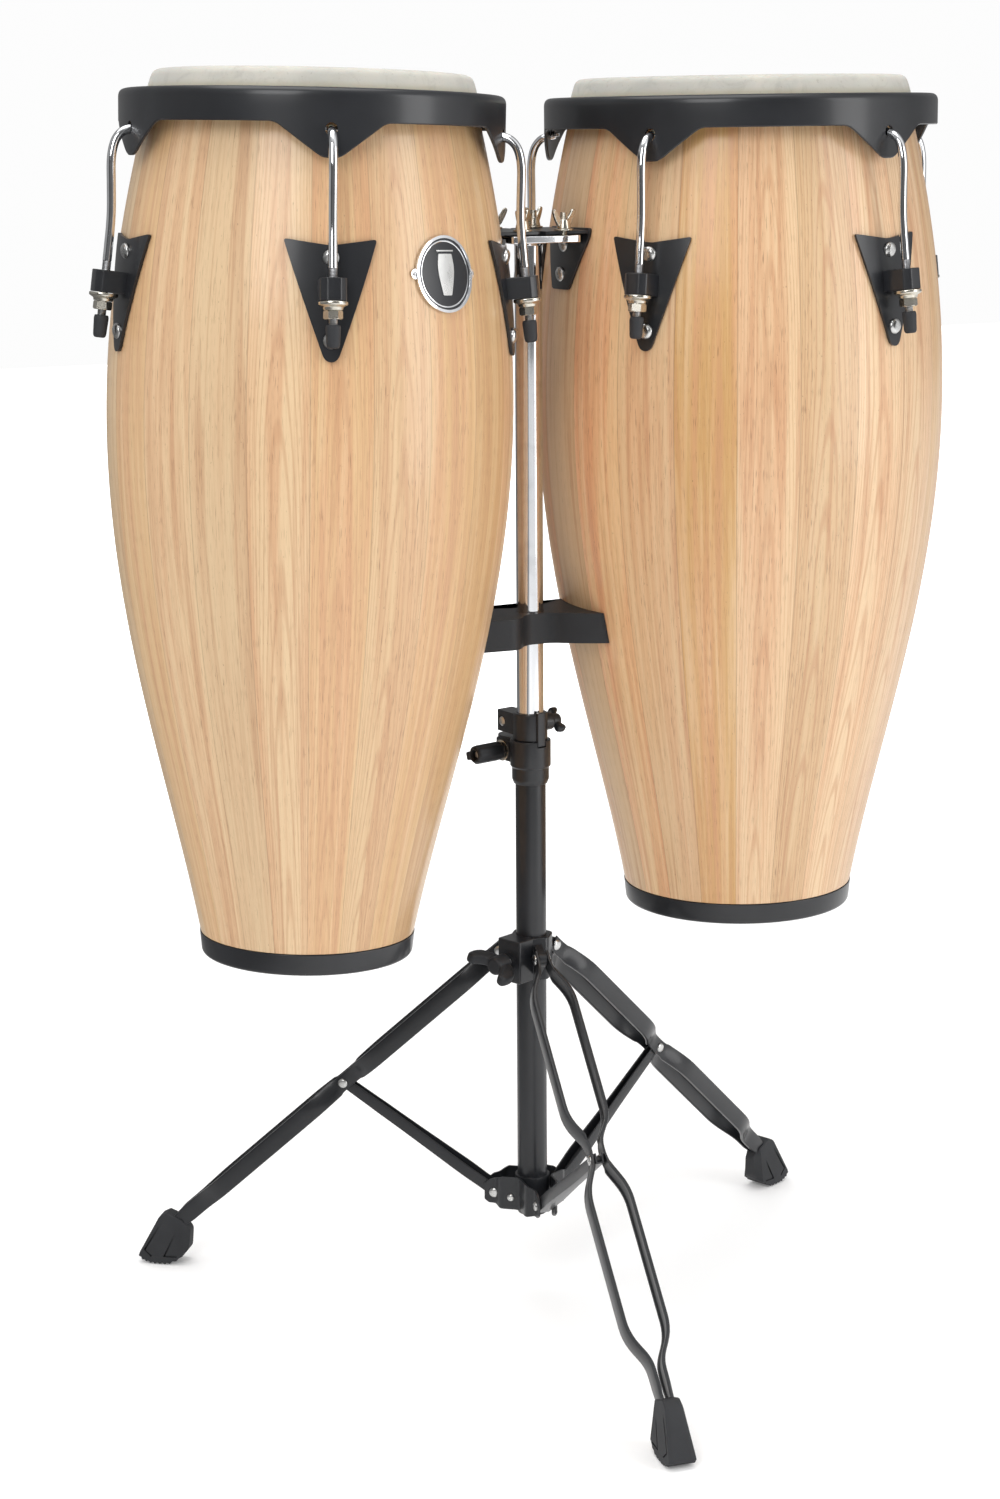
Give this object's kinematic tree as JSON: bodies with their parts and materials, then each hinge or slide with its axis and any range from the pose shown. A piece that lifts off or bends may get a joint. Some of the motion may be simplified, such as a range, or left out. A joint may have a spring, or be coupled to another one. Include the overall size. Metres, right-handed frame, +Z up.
{
  "type": "conga drum set",
  "caption": "Wooden hand drums with rawhide heads and hooked tuning rods, hung from a telescoping post on a folding tripod stand.",
  "frame": {"origin": "on the floor, at the centre of the whole object's bounding box seen from above", "axes": "+X runs from the smaller drum to the larger, +Z is up, and +Y points away from the player's side"},
  "size_m": [0.7729, 0.5928, 1.0604],
  "materials": {
    "wood": "clear satin lacquer over oak-like staves",
    "rawhide": "dry matte rawhide",
    "black_steel": "black powder coat, satin",
    "chrome": "polished chrome plate",
    "zinc": "bright zinc plate, slightly yellow",
    "black_plastic": "moulded nylon, lightly textured",
    "rubber": "matte black rubber"
  },
  "bodies": {
    "base": {"base_tube": "black_steel", "clamp_collar": "black_steel", "foot_spider": "black_steel"},
    "upper": {"upper_post": "chrome", "saddle": "black_plastic", "memory_lock": "black_steel", "quinto_mount_bracket": "black_steel", "quinto_shell": "wood", "quinto_bottom_ring": "black_steel", "quinto_head": "rawhide", "quinto_side_plate_1": "black_steel", "quinto_side_plate_2": "black_steel", "quinto_side_plate_3": "black_steel", "quinto_side_plate_4": "black_steel", "quinto_side_plate_5": "black_steel", "conga_mount_bracket": "black_steel", "conga_shell": "wood", "conga_bottom_ring": "black_steel", "conga_head": "rawhide", "conga_side_plate_1": "black_steel", "conga_side_plate_2": "black_steel", "conga_side_plate_3": "black_steel", "conga_side_plate_4": "black_steel", "conga_side_plate_5": "black_steel"},
    "quinto_rim_set": {"quinto_rim": "black_steel", "quinto_tuning_hook_1": "chrome", "quinto_tuning_hook_2": "chrome", "quinto_tuning_hook_3": "chrome", "quinto_tuning_hook_4": "chrome", "quinto_tuning_hook_5": "chrome"},
    "conga_rim_set": {"conga_rim": "black_steel", "conga_tuning_hook_1": "chrome", "conga_tuning_hook_2": "chrome", "conga_tuning_hook_3": "chrome", "conga_tuning_hook_4": "chrome", "conga_tuning_hook_5": "chrome"},
    "quinto_nut_1": {"quinto_tuning_nut_1": "zinc"},
    "quinto_nut_2": {"quinto_tuning_nut_2": "zinc"},
    "quinto_nut_3": {"quinto_tuning_nut_3": "zinc"},
    "quinto_nut_4": {"quinto_tuning_nut_4": "zinc"},
    "quinto_nut_5": {"quinto_tuning_nut_5": "zinc"},
    "conga_nut_1": {"conga_tuning_nut_1": "zinc"},
    "conga_nut_2": {"conga_tuning_nut_2": "zinc"},
    "conga_nut_3": {"conga_tuning_nut_3": "zinc"},
    "conga_nut_4": {"conga_tuning_nut_4": "zinc"},
    "conga_nut_5": {"conga_tuning_nut_5": "zinc"},
    "plate_nut_1": {"wing_nut_1": "zinc"},
    "plate_nut_2": {"wing_nut_2": "zinc"},
    "plate_nut_3": {"wing_nut_3": "zinc"},
    "plate_nut_4": {"wing_nut_4": "zinc"},
    "lock_bolt": {"memory_wing_bolt": "black_steel"},
    "collar_bolt": {"clamp_t_bolt": "black_plastic"},
    "hub": {"leg_hub": "black_steel"},
    "hub_bolt": {"hub_wing_bolt": "black_plastic"},
    "leg_1": {"leg_1": "black_steel"},
    "leg_2": {"leg_2": "black_steel"},
    "leg_3": {"leg_3": "black_steel"},
    "brace_1": {"brace_1": "black_steel"},
    "brace_2": {"brace_2": "black_steel"},
    "brace_3": {"brace_3": "black_steel"}
  },
  "joints": [
    {"name": "height_slide", "type": "slide", "parent": "base", "child": "upper", "axis": [0, 0, 1], "range_m": [0, 0.2]},
    {"name": "hub_slide", "type": "slide", "parent": "base", "child": "hub", "axis": [0, 0, 1], "range_m": [0, 0.11]},
    {"name": "leg_fold_1", "type": "hinge", "parent": "hub", "child": "leg_1", "pos_m": [0.01207, 0.07851, 0.314], "axis": [-0.3891, 0.9212, 0], "range_deg": [0, 26.4]},
    {"name": "leg_fold_2", "type": "hinge", "parent": "hub", "child": "leg_2", "pos_m": [-0.03433, 0.08429, 0.314], "axis": [-0.6032, -0.7976, 0], "range_deg": [0, 26.4]},
    {"name": "leg_fold_3", "type": "hinge", "parent": "hub", "child": "leg_3", "pos_m": [-0.01614, 0.04121, 0.314], "axis": [0.9923, -0.1236, 0], "range_deg": [0, 26.4]},
    {"name": "brace_fold_1", "type": "hinge", "parent": "base", "child": "brace_1", "pos_m": [0.0176, 0.08084, 0.092], "axis": [0.3891, -0.9212, 0], "range_deg": [0, 33.3]},
    {"name": "brace_fold_2", "type": "hinge", "parent": "base", "child": "brace_2", "pos_m": [-0.03912, 0.08791, 0.092], "axis": [0.6032, 0.7976, 0], "range_deg": [0, 33.3]},
    {"name": "brace_fold_3", "type": "hinge", "parent": "base", "child": "brace_3", "pos_m": [-0.01688, 0.03525, 0.092], "axis": [-0.9923, 0.1236, 0], "range_deg": [0, 33.3]},
    {"name": "quinto_rim_slide", "type": "slide", "parent": "upper", "child": "quinto_rim_set", "axis": [0.0371, 0.0181, 0.9991], "range_m": [0, 0.003]},
    {"name": "conga_rim_slide", "type": "slide", "parent": "upper", "child": "conga_rim_set", "axis": [-0.0017, 0.0124, 0.9999], "range_m": [0, 0.003]},
    {"name": "quinto_nut_turn_1", "type": "hinge", "parent": "upper", "child": "quinto_nut_1", "pos_m": [-0.06488, 0.17986, 0.88604], "axis": [-0.0523, -0.0515, 0.9973], "continuous": true},
    {"name": "quinto_nut_turn_2", "type": "hinge", "parent": "upper", "child": "quinto_nut_2", "pos_m": [-0.25998, 0.23626, 0.89227], "axis": [0.0754, -0.0884, 0.9932], "continuous": true},
    {"name": "quinto_nut_turn_3", "type": "hinge", "parent": "upper", "child": "quinto_nut_3", "pos_m": [-0.37376, 0.06808, 0.89955], "axis": [0.15, 0.0217, 0.9885], "continuous": true},
    {"name": "quinto_nut_turn_4", "type": "hinge", "parent": "upper", "child": "quinto_nut_4", "pos_m": [-0.24897, -0.09227, 0.89782], "axis": [0.0682, 0.1268, 0.9896], "continuous": true},
    {"name": "quinto_nut_turn_5", "type": "hinge", "parent": "upper", "child": "quinto_nut_5", "pos_m": [-0.05808, -0.02319, 0.88947], "axis": [-0.0568, 0.0815, 0.9951], "continuous": true},
    {"name": "conga_nut_turn_1", "type": "hinge", "parent": "upper", "child": "conga_nut_1", "pos_m": [0.0359, -0.03374, 0.8892], "axis": [0.0912, 0.0769, 0.9929], "continuous": true},
    {"name": "conga_nut_turn_2", "type": "hinge", "parent": "upper", "child": "conga_nut_2", "pos_m": [0.242, -0.10551, 0.89045], "axis": [-0.0345, 0.1207, 0.9921], "continuous": true},
    {"name": "conga_nut_turn_3", "type": "hinge", "parent": "upper", "child": "conga_nut_3", "pos_m": [0.37394, 0.06831, 0.88853], "axis": [-0.1149, 0.0147, 0.9933], "continuous": true},
    {"name": "conga_nut_turn_4", "type": "hinge", "parent": "upper", "child": "conga_nut_4", "pos_m": [0.2494, 0.2475, 0.88609], "axis": [-0.039, -0.0946, 0.9948], "continuous": true},
    {"name": "conga_nut_turn_5", "type": "hinge", "parent": "upper", "child": "conga_nut_5", "pos_m": [0.04048, 0.18442, 0.88651], "axis": [0.0884, -0.0561, 0.9945], "continuous": true},
    {"name": "plate_nut_turn_1", "type": "hinge", "parent": "upper", "child": "plate_nut_1", "pos_m": [-0.0313, 0.0395, 0.9297], "axis": [0, 0, 1], "continuous": true},
    {"name": "plate_nut_turn_2", "type": "hinge", "parent": "upper", "child": "plate_nut_2", "pos_m": [0.0057, 0.0395, 0.9297], "axis": [0, 0, 1], "continuous": true},
    {"name": "plate_nut_turn_3", "type": "hinge", "parent": "upper", "child": "plate_nut_3", "pos_m": [0.0057, 0.0965, 0.9297], "axis": [0, 0, 1], "continuous": true},
    {"name": "plate_nut_turn_4", "type": "hinge", "parent": "upper", "child": "plate_nut_4", "pos_m": [-0.0313, 0.0965, 0.9297], "axis": [0, 0, 1], "continuous": true},
    {"name": "lock_bolt_turn", "type": "hinge", "parent": "upper", "child": "lock_bolt", "pos_m": [0.00752, 0.06978, 0.516], "axis": [0.9962, 0.0872, 0], "continuous": true},
    {"name": "collar_bolt_turn", "type": "hinge", "parent": "base", "child": "collar_bolt", "pos_m": [-0.02859, 0.0915, 0.4892], "axis": [-0.9681, -0.2504, 0], "continuous": true},
    {"name": "hub_bolt_turn", "type": "hinge", "parent": "hub", "child": "hub_bolt", "pos_m": [-0.04044, 0.05633, 0.311], "axis": [-0.9212, -0.3891, 0], "continuous": true}
  ],
  "couplings": [
    {"joint": "leg_fold_1", "follows": "hub_slide", "rad_per_m": 4.176},
    {"joint": "leg_fold_2", "follows": "hub_slide", "rad_per_m": 4.176},
    {"joint": "leg_fold_3", "follows": "hub_slide", "rad_per_m": 4.176},
    {"joint": "brace_fold_1", "follows": "hub_slide", "rad_per_m": 5.2749},
    {"joint": "brace_fold_2", "follows": "hub_slide", "rad_per_m": 5.2749},
    {"joint": "brace_fold_3", "follows": "hub_slide", "rad_per_m": 5.2749}
  ]
}
